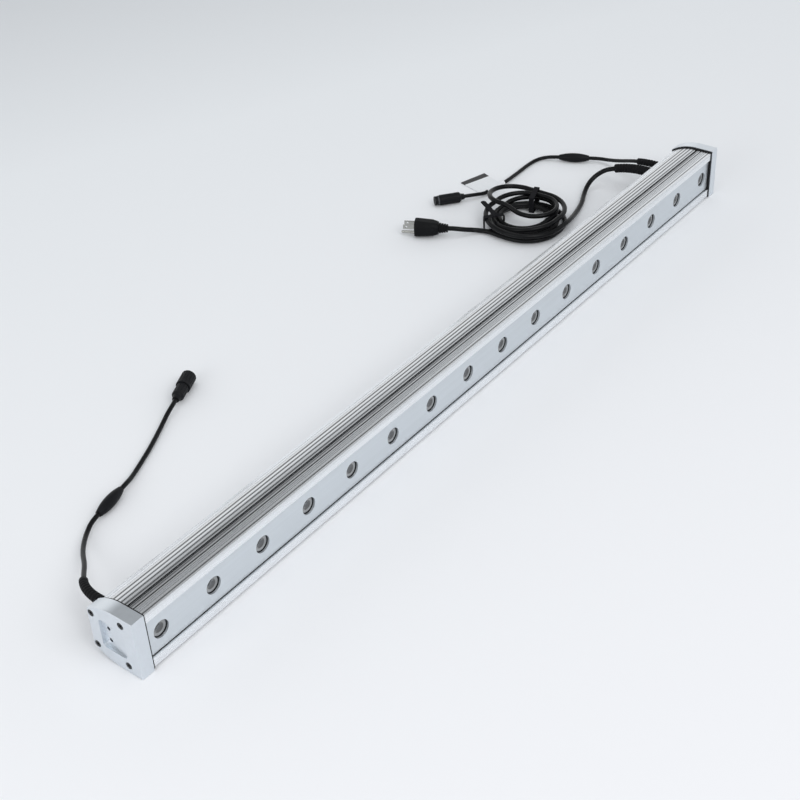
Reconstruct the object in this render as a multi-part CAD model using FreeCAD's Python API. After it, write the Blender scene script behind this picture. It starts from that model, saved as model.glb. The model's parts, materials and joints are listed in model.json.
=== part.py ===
"""Outdoor wall washer light: a 48 inch aluminium bar with sixteen recessed lenses,
cast end caps, two signal leads and a coiled mains lead with its plug.

Millimetres.  X runs along the bar, -Y is the side the light leaves from, +Z is up.
The origin is the middle of the bar's footprint, on the surface the bar stands on.
"""
import FreeCAD, Part
import math
import os

V = FreeCAD.Vector
os.makedirs("parts", exist_ok=True)

# ---------------------------------------------------------------- driving sizes
bar_length = 1219.2
bar_depth = 67.0
bar_height = 76.0
cap_thickness = 16.7
cap_proud = 2.45           # how far the caps stand past the extrusion, top and bottom
cap_front_proud = 1.6      # the same at the front
cap_back_proud = 2.4       # and at the back
cap_edge_round = 1.2
crown_start = 28.7         # flat of the top, from the cap's front to where the curve begins
crown_radius = 62.75       # curve of the cap from the flat top down to the back
gasket_thickness = 1.9
gasket_inset = 1.0         # the gasket lies inside the cap's outline

wall = 2.6
flange_height = 11.1
flange_depth = 3.2
panel_setback = 2.9        # the panel's face behind the flanges' face
panel_thickness = 2.4
panel_edge_gap = 1.35
ledge_reach = 3.0          # how far the panel laps onto the ledges behind it
seal_setback = 0.9         # the seal's face behind the panel's face
ledge_thickness = 2.2
rib_thickness = 2.4

groove_places = (9.2, 11.8, 14.0, 20.8, 28.8, 34.5, 40.2, 46.3, 51.6, 56.3)   # from the cap's front
groove_width = 1.0
groove_depth = 0.6
narrow_slot_place = 17.1
narrow_slot_width = 1.6
narrow_slot_depth = 1.6
mount_slot_place = 24.3
mount_slot_width = 2.8
mount_slot_lip = 1.4
mount_slot_inner_width = 5.6
mount_slot_inner_depth = 1.6
slot_wall = 1.4

lens_count = 16
lens_pitch = bar_length / lens_count
lens_hole_radius = 10.5
lens_radius = 9.4
lens_rim_radius = 9.9
lens_setback = 3.4         # front of the lens behind the panel's face
lens_height = 9.0
lens_seat_radius = 3.1
lens_rim_start = 0.4
lens_rim_end = 1.4
lens_well_radius = 1.9
lens_well_depth = 3.2
holder_wall = 1.2
holder_slack = 0.05
led_size = 3.5
led_height = 1.4
board_thickness = 1.6
board_height = 40.0
board_gap = 1.0
board_count = 4
board_screw_radius = 1.5

screw_head_radius = 3.5
screw_head_height = 3.6
screw_socket = 2.9
screw_shank_radius = 2.0
screw_clearance = 0.2
screw_length = 14.0
counterbore_radius = 4.3
counterbore_depth = 3.9
bush_wall = 1.9
screw_back_place = 61.0    # from the cap's front
screw_back_rise = 21.5     # from the cap's middle height
screw_front_place = 17.5
screw_front_rise = 27.5
pocket_front = 17.0        # recess in the cap's outer face, from the cap's front
pocket_back = 51.5
pocket_half_height = 19.0
pocket_depth_back = 4.0
pocket_depth_front = 1.5
pocket_corner = 4.0
bracket_hole_place = 41.5
bracket_hole_rise = 8.1
bracket_hole_radius = 2.5
bracket_hole_depth = 9.0

supply_length = 220.0
supply_depth = 20.0
supply_height = 40.0
supply_wall = 1.5
supply_inset = 279.6       # the supply's middle from the far end of the bar
supply_board_margin = 2.0
supply_board_edge = 3.0
transformer_half = 14.0
transformer_depth = 13.0
transformer_rise = 12.0
capacitor_radius = 8.0
capacitor_height = 14.0
capacitor_place = 60.0
control_length = 120.0
control_inset = 189.6      # the control board's middle from the near end
control_depth = 12.0
control_height = 38.0

signal_cord_radius = 2.9
mains_cord_radius = 3.6
cord_slack = 0.05
gland_flange_thickness = 2.3
gland_thread_length = 7.0
gland_nut_thickness = 3.5
boot_socket = 12.0         # how far a cord's end sits inside its boot
boot_rib_pitch = 4.4
boot_rib_share = 0.62      # share of the pitch that is rib
boot_groove_depth = 0.9

signal_out_inset = 31.6    # each exit's distance from its own end of the bar
signal_in_inset = 30.6
mains_inset = 57.6

# exit place X, height, straight length, bend radius, bend angle, lean of the bend below
# level (degrees; 0 bends towards +X, 180 towards -X), outer radius, tip radius
signal_out_exit = (signal_out_inset - bar_length / 2, bar_height / 2, 20.0, 64.0, 42.0, -25.0, 6.3, 5.0)
signal_in_exit = (bar_length / 2 - signal_in_inset, bar_height / 2, 20.0, 90.0, 20.0, -50.0, 6.0, 5.0)
mains_exit = (bar_length / 2 - mains_inset, bar_height / 2, 22.0, 150.0, 19.0, -127.0, 7.8, 6.6)

coil_layer_one = 4.85      # heights of the coil's strands
coil_layer_two = 12.95
coil_layer_three = 20.8
coil_layer_four = 29.3

tie_width = 8.0
tie_thickness = 0.8
tie_clearance = 0.35

splice_length = 47.5
splice_radius = 7.2
connector_pin_radius = 0.8
connector_pin_circle = 3.0
connector_pins = 4

tag_thickness = 1.0
blade_length = 17.3
blade_width = 6.35
blade_thickness = 1.5
blade_spacing = 12.7
blade_root = 8.0
earth_pin_radius = 2.4
earth_pin_length = 21.0
earth_pin_drop = 11.9

# ---------------------------------------------------------------- derived places
mid_z = bar_height / 2
front_y = -bar_depth / 2
cap_face_x = bar_length / 2
cap_inner_x = cap_face_x - cap_thickness
extrusion_half = cap_inner_x - gasket_thickness
flange_y = front_y + cap_front_proud
panel_y = flange_y + panel_setback
panel_back_y = panel_y + panel_thickness
back_y = front_y + bar_depth - cap_back_proud
crown_y = front_y + crown_start
top_z = bar_height - cap_proud
bottom_z = cap_proud
opening_half = (top_z - bottom_z) / 2 - flange_height
panel_half = opening_half - panel_edge_gap
mount_slot_total = mount_slot_lip + mount_slot_inner_depth
lens_y = panel_y + lens_setback
board_y = lens_y + lens_height + led_height
supply_place = bar_length / 2 - supply_inset
control_place = control_inset - bar_length / 2


# ---------------------------------------------------------------- helpers
def export(name, shape):
    solids = shape.Solids
    bad = [s for s in solids if not s.isValid() or s.Volume <= 0]
    print("%-28s solids %2d  volume %10.1f%s" % (name, len(solids), shape.Volume, "  BAD" if bad else ""))
    shape.exportStep("parts/" + name + ".step")


def box(x0, x1, y0, y1, z0, z1):
    return Part.makeBox(x1 - x0, y1 - y0, z1 - z0, V(x0, y0, z0))


def rod(base, axis, radius, length):
    return Part.makeCylinder(radius, length, base, axis)


def group(shapes):
    return Part.makeCompound(shapes)


def place_along(shape, base, axis, up=V(0, 0, 1)):
    """Move a shape built along +X, with +Z up, to stand at base along axis."""
    x = V(axis).normalize()
    y = up.cross(x).normalize()
    z = x.cross(y)
    matrix = FreeCAD.Matrix(x.x, y.x, z.x, base.x, x.y, y.y, z.y, base.y, x.z, y.z, z.z, base.z, 0, 0, 0, 1)
    placed = shape.copy()
    placed.Placement = FreeCAD.Placement(matrix)
    return placed


def turned(profile):
    """Solid of revolution about +X from (x, radius) points."""
    points = [V(profile[0][0], 0, 0)]
    points += [V(x, 0, r) for x, r in profile]
    points.append(V(profile[-1][0], 0, 0))
    face = Part.Face(Part.makePolygon(points + [points[0]]))
    return face.revolve(V(0, 0, 0), V(1, 0, 0), 360)


def side_outline(grow_front, grow_back, grow_top, radius, x):
    """D-shaped section of the bar at x: flat front and top, curved down to a flat back."""
    y0 = flange_y - grow_front
    y1 = back_y + grow_back
    z1 = top_z + grow_top
    z0 = bottom_z - grow_top
    centre_z = z1 - radius
    back_z = centre_z + math.sqrt(radius ** 2 - (y1 - crown_y) ** 2)
    half = math.atan2(y1 - crown_y, back_z - centre_z) / 2
    mid = V(x, crown_y + radius * math.sin(half), centre_z + radius * math.cos(half))
    low_mid = V(x, mid.y, bar_height - mid.z)
    a, b = V(x, y0, z1), V(x, crown_y, z1)
    c, d = V(x, y1, back_z), V(x, y1, bar_height - back_z)
    e, f = V(x, crown_y, z0), V(x, y0, z0)
    edges = [Part.makeLine(a, b), Part.Arc(b, mid, c).toShape(), Part.makeLine(c, d)]
    edges += [Part.Arc(d, low_mid, e).toShape(), Part.makeLine(e, f), Part.makeLine(f, a)]
    return Part.Face(Part.Wire(edges))


def tube_wire(points):
    """Straight runs joined by tangent arcs as large as the runs allow; prints the least radius."""
    arcs = []
    least = 1e9
    for before, corner, after in zip(points, points[1:], points[2:]):
        u = (corner - before)
        w = (after - corner)
        run = min(u.Length, w.Length)
        u.normalize()
        w.normalize()
        turn = math.acos(max(-1.0, min(1.0, u.dot(w))))
        reach = 0.45 * run
        radius = reach / math.tan(turn / 2)
        least = min(least, radius)
        start, end = corner - u * reach, corner + w * reach
        inward = (w - u).normalize()
        middle = corner + inward * (radius / math.cos(turn / 2) - radius)
        arcs.append((start, middle, end))
    edges = []
    here = points[0]
    for start, middle, end in arcs:
        edges.append(Part.LineSegment(here, start).toShape())
        edges.append(Part.Arc(start, middle, end).toShape())
        here = end
    edges.append(Part.LineSegment(here, points[-1]).toShape())
    return Part.Wire(edges), least


def cord(name, points, radius):
    """Round tube along a hand-chosen route, checked against its section times its length."""
    wire, least = tube_wire([V(*p) for p in points])
    start = wire.Edges[0].valueAt(wire.Edges[0].FirstParameter)
    heading = wire.Edges[0].tangentAt(wire.Edges[0].FirstParameter)
    ring = Part.Wire(Part.makeCircle(radius, start, heading))
    tube = wire.makePipeShell([ring], True, False)
    share = tube.Volume / (math.pi * radius ** 2 * wire.Length)
    print("%-28s length %7.1f  least radius %6.1f  volume share %.4f" % (name, wire.Length, least, share))
    return tube


def along(base, axis, distance):
    return tuple(base[i] + axis[i] * distance for i in range(3))


def level_axis(degrees):
    """Unit direction in the floor's plane, measured from +X towards +Y."""
    a = math.radians(degrees)
    return (math.cos(a), math.sin(a), 0.0)


# ---------------------------------------------------------------- housing
def groove_cut(place, width, depth):
    """Cut along the bar, square to the outer skin at a distance from the cap's front."""
    y = front_y + place
    centre = V(0, crown_y, top_z - extrusion_radius)
    if y <= crown_y:
        surface, down = V(0, y, top_z), V(0, 0, -1)
    else:
        rise = math.sqrt(extrusion_radius ** 2 - (y - crown_y) ** 2)
        surface = V(0, y, centre.z + rise)
        down = (centre - surface).normalize()
    side = V(1, 0, 0).cross(down)
    corners = [surface - down + side * (width / 2), surface + down * depth + side * (width / 2)]
    corners += [surface + down * depth - side * (width / 2), surface - down - side * (width / 2)]
    corners = [V(-extrusion_half - 1, p.y, p.z) for p in corners]
    face = Part.Face(Part.makePolygon(corners + [corners[0]]))
    return face.extrude(V(2 * extrusion_half + 2, 0, 0))


def slot_cuts():
    """All lengthwise grooves and slots of the upper skin."""
    cuts = [groove_cut(place, groove_width, groove_depth) for place in groove_places]
    cuts.append(groove_cut(narrow_slot_place, narrow_slot_width, narrow_slot_depth))
    cuts.append(groove_cut(mount_slot_place, mount_slot_width, mount_slot_total))
    y = front_y + mount_slot_place
    half = mount_slot_inner_width / 2
    x = extrusion_half + 1
    cuts.append(box(-x, x, y - half, y + half, top_z - mount_slot_total, top_z - mount_slot_lip))
    return cuts


def mirrored(shape):
    return shape.mirror(V(0, 0, mid_z), V(0, 0, 1))


def screw_spots():
    back = front_y + screw_back_place
    front = front_y + screw_front_place
    rises = ((back, screw_back_rise), (back, -screw_back_rise))
    rises += ((front, screw_front_rise), (front, -screw_front_rise))
    return [(y, mid_z + rise) for y, rise in rises]


def screw_bush():
    """Round bosses inside the extrusion that the end cap screws bite into."""
    radius = screw_shank_radius + bush_wall
    x = extrusion_half
    return [rod(V(-x, y, z), V(1, 0, 0), radius, 2 * x) for y, z in screw_spots()]


extrusion_radius = crown_radius - cap_proud


def housing():
    x = extrusion_half
    outer = side_outline(0, 0, 0, extrusion_radius, -x).extrude(V(2 * x, 0, 0))
    inner = side_outline(-wall, -wall, -wall, extrusion_radius - wall, -x).extrude(V(2 * x, 0, 0))
    front_zone = box(-x, x, front_y, flange_y + flange_depth + ledge_thickness + panel_thickness, 0,
                     bar_height)
    shell = outer.cut(inner.cut(front_zone))
    opening = box(-x, x, front_y, panel_back_y, mid_z - opening_half, mid_z + opening_half)
    throat_half = panel_half - ledge_reach
    throat = box(-x, x, front_y, 0, mid_z - throat_half, mid_z + throat_half)
    shell = shell.cut(group([opening, throat]))
    y = front_y + mount_slot_place
    half = mount_slot_inner_width / 2 + slot_wall
    thick = box(-x, x, y - half, y + half, top_z - mount_slot_total - slot_wall, top_z - wall / 2)
    solids = [thick, mirrored(thick)] + screw_bush()
    rib_y = board_y + board_thickness
    rib_low = box(-x, x, rib_y, rib_y + rib_thickness, bottom_z + wall / 2, top_z - wall / 2)
    shell = shell.fuse([s.common(outer) for s in solids + [rib_low]]).removeSplitter()
    holes = [rod(V(-x - 1, sy, sz), V(1, 0, 0), screw_shank_radius, 2 * x + 2) for sy, sz in screw_spots()]
    upper = slot_cuts()
    cuts = upper + [mirrored(c) for c in upper] + holes
    for x_exit, z_exit, radius in gland_holes():
        cuts.append(rod(V(x_exit, back_y - wall - 1, z_exit), V(0, 1, 0), radius, wall + 2))
    for spot in board_screw_spots():
        cuts.append(rod(V(spot[0], rib_y - 1, spot[1]), V(0, 1, 0), board_screw_radius, rib_thickness + 2))
    return shell.cut(group(cuts))


def gland_holes():
    exits = (signal_out_exit, signal_in_exit, mains_exit)
    return [(e[0], e[1], e[6] - 1.0) for e in exits]


def gland(e):
    """Flange outside, threaded stub through the back wall and a lock nut inside."""
    outer, stub = e[6] + 1.2, e[6] - 1.0 - cord_slack
    flange = rod(V(e[0], back_y, e[1]), V(0, 1, 0), outer, gland_flange_thickness)
    thread = rod(V(e[0], back_y - wall - gland_thread_length, e[1]), V(0, 1, 0), stub,
                 wall + gland_thread_length)
    nut = hexagon(e[0], back_y - wall - gland_nut_thickness, e[1], outer + 1.0, gland_nut_thickness)
    return flange.fuse([thread, nut]).removeSplitter()


def hexagon(x, y, z, radius, thickness):
    corners = []
    for k in range(7):
        a = math.radians(60 * (k % 6))
        corners.append(V(x + radius * math.cos(a), y, z + radius * math.sin(a)))
    return Part.Face(Part.makePolygon(corners)).extrude(V(0, thickness, 0))


# ---------------------------------------------------------------- end caps
def end_cap(side):
    """Cast cap: D-shaped block with a sloping pocket, four counterbores and two tapped holes."""
    face = side_outline(cap_front_proud, cap_back_proud, cap_proud, crown_radius, cap_inner_x)
    block = face.extrude(V(cap_thickness, 0, 0))
    rim = [e for e in block.Edges if e.BoundBox.XMin > cap_face_x - 0.01]
    block = block.makeFillet(cap_edge_round, rim)
    cuts = [cap_pocket()]
    for y, z in screw_spots():
        cuts.append(rod(V(cap_face_x - counterbore_depth, y, z), V(1, 0, 0), counterbore_radius,
                        counterbore_depth + 1))
        cuts.append(rod(V(cap_inner_x - 1, y, z), V(1, 0, 0), screw_shank_radius + screw_clearance,
                        cap_thickness + 2))
    for z in (mid_z - bracket_hole_rise, mid_z + bracket_hole_rise):
        start = V(cap_face_x - pocket_depth_back - bracket_hole_depth, front_y + bracket_hole_place, z)
        cuts.append(rod(start, V(1, 0, 0), bracket_hole_radius, bracket_hole_depth + pocket_depth_back))
    block = block.cut(group(cuts))
    return on_side(block, side)


def cap_pocket():
    """Recess in the outer face, deeper towards the back of the bar."""
    y0, y1 = front_y + pocket_front, front_y + pocket_back
    x = cap_face_x
    outline = [V(x - pocket_depth_front, y0, 0), V(x - pocket_depth_back, y1, 0), V(x + 1, y1, 0),
               V(x + 1, y0, 0)]
    outline = [V(p.x, p.y, mid_z - pocket_half_height) for p in outline]
    wedge = Part.Face(Part.makePolygon(outline + [outline[0]])).extrude(V(0, 0, 2 * pocket_half_height))
    corners = [e for e in wedge.Edges if is_pocket_corner(e, y0, y1)]
    return wedge.makeFillet(pocket_corner, corners)


def is_pocket_corner(edge, y0, y1):
    low, high = edge.BoundBox.ZMin, edge.BoundBox.ZMax
    along_x = edge.BoundBox.XLength > 0.5 and edge.BoundBox.YLength < 0.01 and high - low < 0.01
    return along_x and (abs(edge.BoundBox.YMin - y0) < 0.01 or abs(edge.BoundBox.YMin - y1) < 0.01)


def on_side(shape, side):
    """side 1 keeps the shape at the far end; -1 mirrors it to the near end."""
    return shape if side > 0 else shape.mirror(V(0, 0, 0), V(1, 0, 0))


def end_gasket(side):
    grow = (cap_front_proud - gasket_inset, cap_back_proud - gasket_inset, cap_proud - gasket_inset)
    sheet = side_outline(grow[0], grow[1], grow[2], crown_radius - gasket_inset, extrusion_half)
    sheet = sheet.extrude(V(gasket_thickness, 0, 0))
    hole = side_outline(-wall, -wall, -wall, extrusion_radius - wall, extrusion_half - 1)
    hole = hole.extrude(V(gasket_thickness + 2, 0, 0))
    keep = [rod(V(extrusion_half - 1, y, z), V(1, 0, 0), screw_shank_radius + bush_wall,
                gasket_thickness + 2)
            for y, z in screw_spots()]
    hole = hole.cut(group(keep))
    holes = [rod(V(extrusion_half - 1, y, z), V(1, 0, 0), screw_shank_radius + screw_clearance,
                 gasket_thickness + 2)
             for y, z in screw_spots()]
    ring = sheet.cut(group([hole] + holes))
    biggest = max(ring.Solids, key=lambda s: s.Volume)
    return on_side(biggest, side)


def cap_screws(side):
    screws = []
    seat = cap_face_x - counterbore_depth
    for y, z in screw_spots():
        head = rod(V(seat, y, z), V(1, 0, 0), screw_head_radius, screw_head_height)
        shank = rod(V(seat - screw_length - cap_thickness + counterbore_depth, y, z), V(1, 0, 0),
                    screw_shank_radius - cord_slack, screw_length + cap_thickness - counterbore_depth)
        socket = hex_socket(seat + screw_head_height, y, z)
        screws.append(on_side(head.fuse(shank).cut(socket), side))
    return group(screws)


def hex_socket(x, y, z):
    corners = []
    for k in range(7):
        a = math.radians(60 * (k % 6))
        corners.append(V(x + 1, y + screw_socket / 1.7 * math.cos(a), z + screw_socket / 1.7 * math.sin(a)))
    return Part.Face(Part.makePolygon(corners)).extrude(V(-screw_head_height * 0.6 - 1, 0, 0))


# ---------------------------------------------------------------- panel, lenses, boards
def lens_places():
    first = -(lens_count - 1) / 2 * lens_pitch
    return [first + k * lens_pitch for k in range(lens_count)]


def face_panel():
    x = extrusion_half
    plate = box(-x, x, panel_y, panel_back_y, mid_z - panel_half, mid_z + panel_half)
    holes = [rod(V(lx, panel_y - 1, mid_z), V(0, 1, 0), lens_hole_radius, panel_thickness + 2)
             for lx in lens_places()]
    return plate.cut(group(holes))


def panel_seal(side):
    """Rubber strip in the gap along one long edge of the panel."""
    x = extrusion_half
    near, far = mid_z + side * panel_half, mid_z + side * opening_half
    return box(-x, x, panel_y + seal_setback, panel_back_y, min(near, far), max(near, far))


def lens_holder(x):
    """Black cup behind the panel: seats the lens, stands on the board round the light source."""
    outer = lens_hole_radius + 1.0
    cup = rod(V(x, panel_back_y, mid_z), V(0, 1, 0), outer, board_y - panel_back_y)
    bore = rod(V(x, panel_back_y - 1, mid_z), V(0, 1, 0), lens_rim_radius + holder_slack,
               lens_y - panel_back_y + 2.4)
    throat = Part.makeCone(lens_radius - 1.4, lens_seat_radius + 0.6, board_y - lens_y - 1.4 + 1,
                           V(x, lens_y + 1.4, mid_z), V(0, 1, 0))
    well = rod(V(x, board_y - 3.5, mid_z), V(0, 1, 0), lens_seat_radius + 0.6, 4.5)
    return cup.cut(bore.fuse([throat, well]))


def lens(x):
    """Clear collimator: rim, paraboloid-like flank and a blind well over the light source."""
    profile = [(0.0, lens_radius), (lens_rim_start, lens_rim_radius), (lens_rim_end, lens_rim_radius)]
    profile.append((lens_rim_end, lens_radius - 1.8))
    profile += [(4.0, lens_radius - 3.0), (6.6, lens_radius - 4.9), (lens_height - 0.6, lens_seat_radius)]
    body = turned(profile)
    dish = Part.makeCone(lens_radius - 3.4, 1.4, 1.6, V(-0.01, 0, 0), V(1, 0, 0))
    well = rod(V(lens_height - lens_well_depth, 0, 0), V(1, 0, 0), lens_well_radius, lens_well_depth)
    body = body.cut(group([dish, well]))
    return place_along(body, V(x, lens_y, mid_z), V(0, 1, 0))


def led_package(x):
    half = led_size / 2
    base = box(x - half, x + half, board_y - led_height * 0.5, board_y, mid_z - half, mid_z + half)
    dome = Part.makeSphere(half * 0.75, V(x, board_y - led_height * 0.5, mid_z), V(0, -1, 0), 0, 90, 360)
    return base.fuse(dome)


def board_span(k):
    usable = lens_count * lens_pitch
    start = -usable / 2 + k * usable / board_count
    low = max(start, -extrusion_half + board_gap)
    high = min(start + usable / board_count, extrusion_half - board_gap)
    return low + board_gap / 2, high - board_gap / 2


def board_screw_spots():
    spots = []
    for k in range(board_count):
        low, high = board_span(k)
        for x in (low + 8.0, high - 8.0):
            for z in (mid_z - board_height / 2 + 5.0, mid_z + board_height / 2 - 5.0):
                spots.append((x, z))
    return spots


def led_board(k):
    low, high = board_span(k)
    plate = box(low, high, board_y, board_y + board_thickness, mid_z - board_height / 2,
                mid_z + board_height / 2)
    holes = [rod(V(x, board_y - 1, z), V(0, 1, 0), board_screw_radius + 0.1, board_thickness + 2)
             for x, z in board_screw_spots() if low < x < high]
    return plate.cut(group(holes))


def board_screws():
    screws = []
    for x, z in board_screw_spots():
        head = rod(V(x, board_y - 1.8, z), V(0, 1, 0), board_screw_radius * 1.9, 1.8)
        shank = rod(V(x, board_y, z), V(0, 1, 0), board_screw_radius - cord_slack,
                    board_thickness + rib_thickness)
        screws.append(head.fuse(shank))
    return group(screws)


def circuit_box(place, length, depth, height):
    """Closed electronics case that stands on the back of the rib."""
    y = board_y + board_thickness + rib_thickness
    return box(place - length / 2, place + length / 2, y, y + depth, mid_z - height / 2, mid_z + height / 2)


def power_supply_case():
    y = board_y + board_thickness + rib_thickness
    outer = circuit_box(supply_place, supply_length, supply_depth, supply_height)
    t = supply_wall
    inner = box(supply_place - supply_length / 2 + t, supply_place + supply_length / 2 - t, y - 1,
                y + supply_depth - t, mid_z - supply_height / 2 + t, mid_z + supply_height / 2 - t)
    return outer.cut(inner)


def power_supply_board():
    """Circuit board inside the case, with its transformer and two capacitors as one piece."""
    y = board_y + board_thickness + rib_thickness
    length, t = supply_length - 2 * (supply_wall + supply_board_margin), board_thickness
    plate = box(supply_place - length / 2, supply_place + length / 2, y, y + t,
                mid_z - supply_height / 2 + supply_board_edge,
                mid_z + supply_height / 2 - supply_board_edge)
    core = box(supply_place - transformer_half, supply_place + transformer_half, y + t,
               y + t + transformer_depth,
               mid_z - transformer_rise, mid_z + transformer_rise)
    tins = [rod(V(supply_place + s * capacitor_place, y + t, mid_z), V(0, 1, 0), capacitor_radius,
                capacitor_height)
            for s in (-1, 1)]
    return plate.fuse([core] + tins)


def control_board():
    y = board_y + board_thickness + rib_thickness
    plate = box(control_place - control_length / 2, control_place + control_length / 2, y,
                y + board_thickness,
                mid_z - control_height / 2, mid_z + control_height / 2)
    chip = box(control_place - 9.0, control_place + 9.0, y + board_thickness, y + board_thickness + 2.4,
               mid_z - 9.0, mid_z + 9.0)
    blocks = [box(control_place + s * 45.0 - 8.0, control_place + s * 45.0 + 8.0, y + board_thickness,
                  y + control_depth, mid_z - 12.0, mid_z + 12.0) for s in (-1, 1)]
    return plate.fuse([chip] + blocks)


# ---------------------------------------------------------------- boots
def boot_frame(e, distance):
    """Point, heading and steady side direction at a distance along a boot's bent axis."""
    x, z, straight, radius, angle, lean = e[0], e[1], e[2], e[3], e[4], math.radians(e[5])
    base = V(x, back_y + gland_flange_thickness, z)
    bend = V(math.cos(lean), 0, math.sin(lean))
    side = V(0, 1, 0).cross(bend)
    if distance <= straight:
        return base + V(0, distance, 0), V(0, 1, 0), side
    a = (distance - straight) / radius
    point = base + V(0, straight + radius * math.sin(a), 0) + bend * (radius * (1 - math.cos(a)))
    return point, V(0, math.cos(a), 0) + bend * math.sin(a), side


def boot_length(e):
    return e[2] + e[3] * math.radians(e[4])


def boot_end(e):
    point, heading, side = boot_frame(e, boot_length(e))
    return (point.x, point.y, point.z), (heading.x, heading.y, heading.z)


def boot(e, cord_radius):
    """Ribbed rubber strain relief: plain collar, ribs along the bend, plain tip with a bore."""
    total = boot_length(e)
    collar, tip = 5.0, boot_rib_pitch
    ribs = int((total - collar - tip) / boot_rib_pitch)
    pitch = (total - collar - tip) / ribs
    stations = [(0.0, 0.0), (collar, 0.0)]
    for k in range(ribs):
        at = collar + k * pitch
        gap = pitch * (1 - boot_rib_share)
        stations += [(at + gap * 0.3, boot_groove_depth), (at + gap, boot_groove_depth)]
        stations += [(at + gap * 1.3, 0.0), (at + pitch, 0.0)]
    stations.append((total, 0.0))
    rings = []
    for distance, sunk in stations:
        point, heading, side = boot_frame(e, distance)
        taper = distance / total
        radius = e[6] * (1 - taper) + e[7] * taper - sunk
        rings.append(ring_wire(point, heading, side, radius))
    body = Part.makeLoft(rings, True, True)
    point, heading, side = boot_frame(e, total)
    bore = rod(point + heading, heading * -1, cord_radius + cord_slack, boot_socket + 1)
    return body.cut(bore)


def ring_wire(point, heading, side, radius):
    """Circle square to heading, its seam on the steady side direction."""
    circle = Part.Circle(point, heading, radius)
    placed = circle.toShape()
    seam = placed.valueAt(placed.FirstParameter) - point
    twist = math.degrees(seam.getAngle(side))
    if seam.cross(side).dot(heading) < 0:
        twist = -twist
    placed.rotate(point, heading, twist)
    return Part.Wire(placed)


def socket_start(e):
    """Where a cord begins, at the bottom of its boot's bore, and where it comes out."""
    end, heading = boot_end(e)
    return along(end, heading, -boot_socket), end, heading


# ---------------------------------------------------------------- connectors and splices
def splice(base, axis):
    """Moulded joint in a signal lead, thickest at its middle."""
    length, end = splice_length, signal_cord_radius + 1.0
    points = (V(0, 0, 0), V(0, 0, end), V(length, 0, end), V(length, 0, 0))
    belly = Part.Arc(points[1], V(length / 2, 0, splice_radius), points[2]).toShape()
    edges = [Part.makeLine(points[0], points[1]), belly]
    edges += [Part.makeLine(points[2], points[3]), Part.makeLine(points[3], points[0])]
    body = Part.Face(Part.Wire(edges)).revolve(V(0, 0, 0), V(1, 0, 0), 360)
    return place_along(body, V(*base), V(*axis))


def around_axis(count, radius, turn=0.0):
    """Places on a circle about the X axis."""
    spots = []
    for k in range(count):
        a = math.radians(360.0 * k / count + turn)
        spots.append((radius * math.cos(a), radius * math.sin(a)))
    return spots


nut_start = 28.0           # places along the signal out connector, from its cord end
nut_length = 25.0
nut_radius = 9.75
nut_lip = 3.2
nut_bore_radius = 7.9
nut_play = 0.3
neck_radius = 6.0
carrier_radius = 5.6
carrier_end = 40.0
collar_radius = 7.4
collar_thickness = 1.6


def out_connector_body():
    """Grip, neck that the nut turns on, retaining collar and the hollow contact carrier."""
    shoulder = nut_start - nut_play
    lip_end = nut_start + nut_lip
    collar_at = lip_end + nut_play
    profile = [(0, signal_cord_radius + 1.6), (6.0, 5.6), (8.0, 7.6), (9.0, 8.0), (shoulder - 1.0, 8.0)]
    profile += [(shoulder, 7.4), (shoulder, neck_radius), (collar_at, neck_radius),
                (collar_at, collar_radius)]
    profile += [(collar_at + collar_thickness, collar_radius),
                (collar_at + collar_thickness, carrier_radius)]
    profile += [(carrier_end, carrier_radius)]
    body = turned(profile)
    hollow = rod(V(carrier_end - 5.0, 0, 0), V(1, 0, 0), carrier_radius - 1.2, 6.0)
    grips = [rod(V(11.0, y, z), V(1, 0, 0), 0.7, 14.0) for y, z in around_axis(12, 8.2)]
    return body.cut(group([hollow] + grips))


def out_contact_insert():
    insert = rod(V(carrier_end - 5.0, 0, 0), V(1, 0, 0), carrier_radius - 1.2 - cord_slack, 5.0)
    pins = [rod(V(carrier_end, y, z), V(1, 0, 0), connector_pin_radius, 5.0)
            for y, z in around_axis(connector_pins, connector_pin_circle, 45)]
    return insert.fuse(pins)


def out_seal_ring():
    lip_end = nut_start + nut_lip
    start = lip_end + nut_play + collar_thickness
    ring = rod(V(start, 0, 0), V(1, 0, 0), collar_radius - 0.3, 1.6)
    return ring.cut(rod(V(start - 1, 0, 0), V(1, 0, 0), carrier_radius + cord_slack, 4.0))


def coupling_nut():
    """Loose ring nut: inner lip behind the collar, open bore, fluted grip."""
    end = nut_start + nut_length
    nut = rod(V(nut_start, 0, 0), V(1, 0, 0), nut_radius, nut_length)
    nut = nut.makeChamfer(0.8, [e for e in nut.Edges if e.BoundBox.XLength < 0.01])
    bore = rod(V(nut_start + nut_lip, 0, 0), V(1, 0, 0), nut_bore_radius, nut_length)
    eye = rod(V(nut_start - 1, 0, 0), V(1, 0, 0), neck_radius + nut_play, nut_lip + 2)
    flutes = [rod(V(nut_start + 4.0, y, z), V(1, 0, 0), 1.0, end) for y,
              z in around_axis(16, nut_radius + 0.35)]
    return nut.cut(group([bore, eye] + flutes))


in_body_length = 39.0      # signal in connector, from its cord end
in_nose_length = 8.0
in_nose_radius = 7.0


def in_connector_body():
    profile = [(0, signal_cord_radius + 1.4), (5.0, 5.2), (7.0, 7.4), (8.0, 8.1),
               (in_body_length - 1.0, 8.1)]
    profile.append((in_body_length, 7.8))
    body = turned(profile)
    grips = [rod(V(11.0, y, z), V(1, 0, 0), 0.7, 22.0) for y, z in around_axis(12, 8.3)]
    return body.cut(group(grips))


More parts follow.
